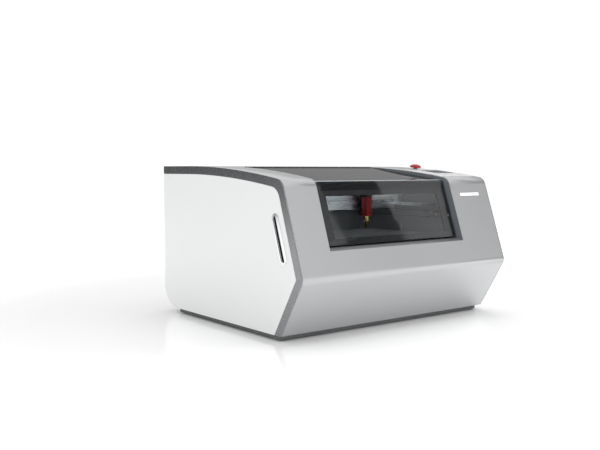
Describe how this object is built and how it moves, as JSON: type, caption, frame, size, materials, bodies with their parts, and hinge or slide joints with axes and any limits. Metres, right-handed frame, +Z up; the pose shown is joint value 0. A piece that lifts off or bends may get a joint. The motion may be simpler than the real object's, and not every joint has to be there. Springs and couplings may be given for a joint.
{
  "type": "desktop laser cutter",
  "caption": "Desktop laser cutter with a glazed flip-up lid, belt-driven gantry and laser head, rising honeycomb table, console with emergency stop, and rear exhaust and service ports.",
  "frame": {"origin": "centre of the whole footprint, exhaust spigot included, on the floor plane under the feet", "axes": "+Z up, +X to the right when facing the front, front looks along -Y"},
  "size_m": [0.904, 0.8327, 0.5227],
  "materials": {
    "silver_paint": "satin metallic silver paint",
    "trim_grey": "satin grey paint",
    "white_paint": "satin white powder coat",
    "dark_steel": "matt dark grey powder coat",
    "chamber_grey": "satin grey powder coat",
    "black_frame": "satin black powder coat",
    "tinted_glass": "grey tinted safety glass",
    "clear_glass": "light tinted safety glass",
    "display_glass": "glossy black",
    "panel_white": "glossy white",
    "panel_plastic": "light grey moulded plastic",
    "black_plastic": "matt black",
    "slate_plastic": "satin slate grey",
    "key_grey": "light grey",
    "red_plastic": "glossy red",
    "cover_red": "satin red",
    "chrome": "polished",
    "steel": "ground steel",
    "aluminium": "natural anodised",
    "black_anodised": "black anodised",
    "honeycomb": "bare aluminium honeycomb",
    "brass": "turned",
    "rubber": "matt",
    "belt_rubber": "toothed",
    "tube_glass": "clear borosilicate",
    "circuit_green": "solder-masked board",
    "light_white": "opal diffuser"
  },
  "bodies": {
    "chassis": {"base_tray": "dark_steel", "plinth_skirt": "dark_steel", "rubber_feet": "rubber", "body_shell": "silver_paint", "edge_trims": "trim_grey", "side_panel_left": "white_paint", "side_panel_right": "white_paint", "rear_panel": "white_paint", "panel_screws": "steel", "chamber_walls": "chamber_grey", "opening_surround": "slate_plastic", "y_rails": "steel", "rail_shelves": "chamber_grey", "y_belts": "belt_rubber", "y_motor": "black_plastic", "laser_tube": "tube_glass", "tube_brackets": "black_plastic", "power_supply": "aluminium", "controller_board": "circuit_green", "fan_housing": "black_plastic", "power_inlet": "black_plastic", "rear_connectors": "black_plastic", "handle_cups": "black_plastic", "handle_grips": "chrome", "control_panel": "panel_white", "display_glass": "display_glass", "estop_base": "panel_plastic", "status_light": "light_white", "body_hinge_leaf": "black_frame", "strut_brackets": "steel"},
    "lid": {"lid_frame": "black_frame", "lid_top_glass": "tinted_glass", "lid_front_glass": "clear_glass", "lid_hinge_leaf": "black_frame"},
    "gantry": {"gantry_beam": "aluminium", "gantry_ends": "aluminium", "x_rail": "steel", "x_motor": "black_plastic", "x_belt": "belt_rubber"},
    "head": {"carriage": "black_anodised", "head_cover": "cover_red", "head_cap": "black_plastic"},
    "table": {"table_frame": "aluminium", "honeycomb_bed": "honeycomb", "table_nuts": "brass"},
    "strut_tube_left": {"strut_tube_left": "black_anodised"},
    "strut_tube_right": {"strut_tube_right": "black_anodised"},
    "strut_rod_left": {"strut_rod_left": "steel"},
    "strut_rod_right": {"strut_rod_right": "steel"},
    "x_pulley": {"x_pulley": "aluminium"},
    "y_shaft": {"y_shaft": "steel"},
    "lens_tube": {"lens_tube": "brass"},
    "lead_screw_left": {"lead_screw_left": "steel"},
    "lead_screw_right": {"lead_screw_right": "steel"},
    "estop_stem": {"estop_stem": "black_plastic"},
    "estop_head": {"estop_head": "red_plastic"},
    "rocker": {"rocker": "black_plastic"},
    "fan_rotor": {"fan_rotor": "black_plastic"},
    "key_start": {"key_start": "key_grey"},
    "key_stop": {"key_stop": "key_grey"}
  },
  "joints": [
    {"name": "lid_hinge", "type": "hinge", "parent": "chassis", "child": "lid", "pos_m": [-0.033, 0.058, 0.508], "axis": [-1, 0, 0], "range_deg": [0, 60]},
    {"name": "strut_swing_left", "type": "hinge", "parent": "chassis", "child": "strut_tube_left", "pos_m": [-0.31, 0.06, 0.452], "axis": [-1, 0, 0], "range_deg": [-1, 55.01]},
    {"name": "strut_stroke_left", "type": "slide", "parent": "strut_tube_left", "child": "strut_rod_left", "axis": [0, -0.9998, 0.0222], "range_m": [-0.001, 0.0541]},
    {"name": "strut_swing_right", "type": "hinge", "parent": "chassis", "child": "strut_tube_right", "pos_m": [0.244, 0.06, 0.452], "axis": [-1, 0, 0], "range_deg": [-1, 55.01]},
    {"name": "strut_stroke_right", "type": "slide", "parent": "strut_tube_right", "child": "strut_rod_right", "axis": [0, -0.9998, 0.0222], "range_m": [-0.001, 0.0541]},
    {"name": "gantry_y", "type": "slide", "parent": "chassis", "child": "gantry", "axis": [0, 1, 0], "range_m": [-0.15, 0.15]},
    {"name": "head_x", "type": "slide", "parent": "gantry", "child": "head", "axis": [1, 0, 0], "range_m": [-0.345, 0.14]},
    {"name": "lens_focus", "type": "slide", "parent": "head", "child": "lens_tube", "axis": [0, 0, 1], "range_m": [-0.006, 0.01]},
    {"name": "x_pulley_spin", "type": "hinge", "parent": "gantry", "child": "x_pulley", "pos_m": [-0.283, -0.0675, 0.39], "axis": [0, 0, 1], "range_deg": [-2350, 960]},
    {"name": "y_shaft_spin", "type": "hinge", "parent": "chassis", "child": "y_shaft", "pos_m": [-0.033, 0.12, 0.35], "axis": [1, 0, 0], "range_deg": [-850, 850]},
    {"name": "table_z", "type": "slide", "parent": "chassis", "child": "table", "axis": [0, 0, 1], "range_m": [-0.11, 0.007]},
    {"name": "lead_screw_spin_left", "type": "hinge", "parent": "chassis", "child": "lead_screw_left", "pos_m": [-0.295, -0.13, 0.18], "axis": [0, 0, 1], "range_deg": [-5000, 330]},
    {"name": "lead_screw_spin_right", "type": "hinge", "parent": "chassis", "child": "lead_screw_right", "pos_m": [0.229, -0.13, 0.18], "axis": [0, 0, 1], "range_deg": [-5000, 330]},
    {"name": "estop_push", "type": "slide", "parent": "chassis", "child": "estop_stem", "axis": [0, -0.1156, 0.9933], "range_m": [-0.0035, 0]},
    {"name": "estop_twist", "type": "hinge", "parent": "estop_stem", "child": "estop_head", "pos_m": [0.305, -0.12467, 0.50137], "axis": [0, -0.1156, 0.9933], "range_deg": [0, 30], "stiffness_Nm_per_rad": 0.05},
    {"name": "key_start_press", "type": "slide", "parent": "chassis", "child": "key_start", "axis": [0, -0.1156, 0.9933], "range_m": [-0.002, 0], "stiffness_N_per_m": 300},
    {"name": "key_stop_press", "type": "slide", "parent": "chassis", "child": "key_stop", "axis": [0, -0.1156, 0.9933], "range_m": [-0.002, 0], "stiffness_N_per_m": 300},
    {"name": "rocker_tip", "type": "hinge", "parent": "chassis", "child": "rocker", "pos_m": [-0.33, 0.376, 0.186], "axis": [1, 0, 0], "range_deg": [-16, 0]},
    {"name": "fan_spin", "type": "hinge", "parent": "chassis", "child": "fan_rotor", "pos_m": [0.12, 0.356, 0.235], "axis": [0, 1, 0], "continuous": true}
  ],
  "couplings": [
    {"joint": "strut_swing_left", "follows": "lid_hinge", "ratio": 0.89181},
    {"joint": "strut_stroke_left", "follows": "lid_hinge", "m_per_rad": 0.049799},
    {"joint": "lead_screw_spin_left", "follows": "table_z", "rad_per_m": 785.4},
    {"joint": "strut_swing_right", "follows": "lid_hinge", "ratio": 0.89181},
    {"joint": "strut_stroke_right", "follows": "lid_hinge", "m_per_rad": 0.049799},
    {"joint": "lead_screw_spin_right", "follows": "table_z", "rad_per_m": 785.4},
    {"joint": "x_pulley_spin", "follows": "head_x", "rad_per_m": 113.64},
    {"joint": "y_shaft_spin", "follows": "gantry_y", "rad_per_m": -95.694}
  ]
}
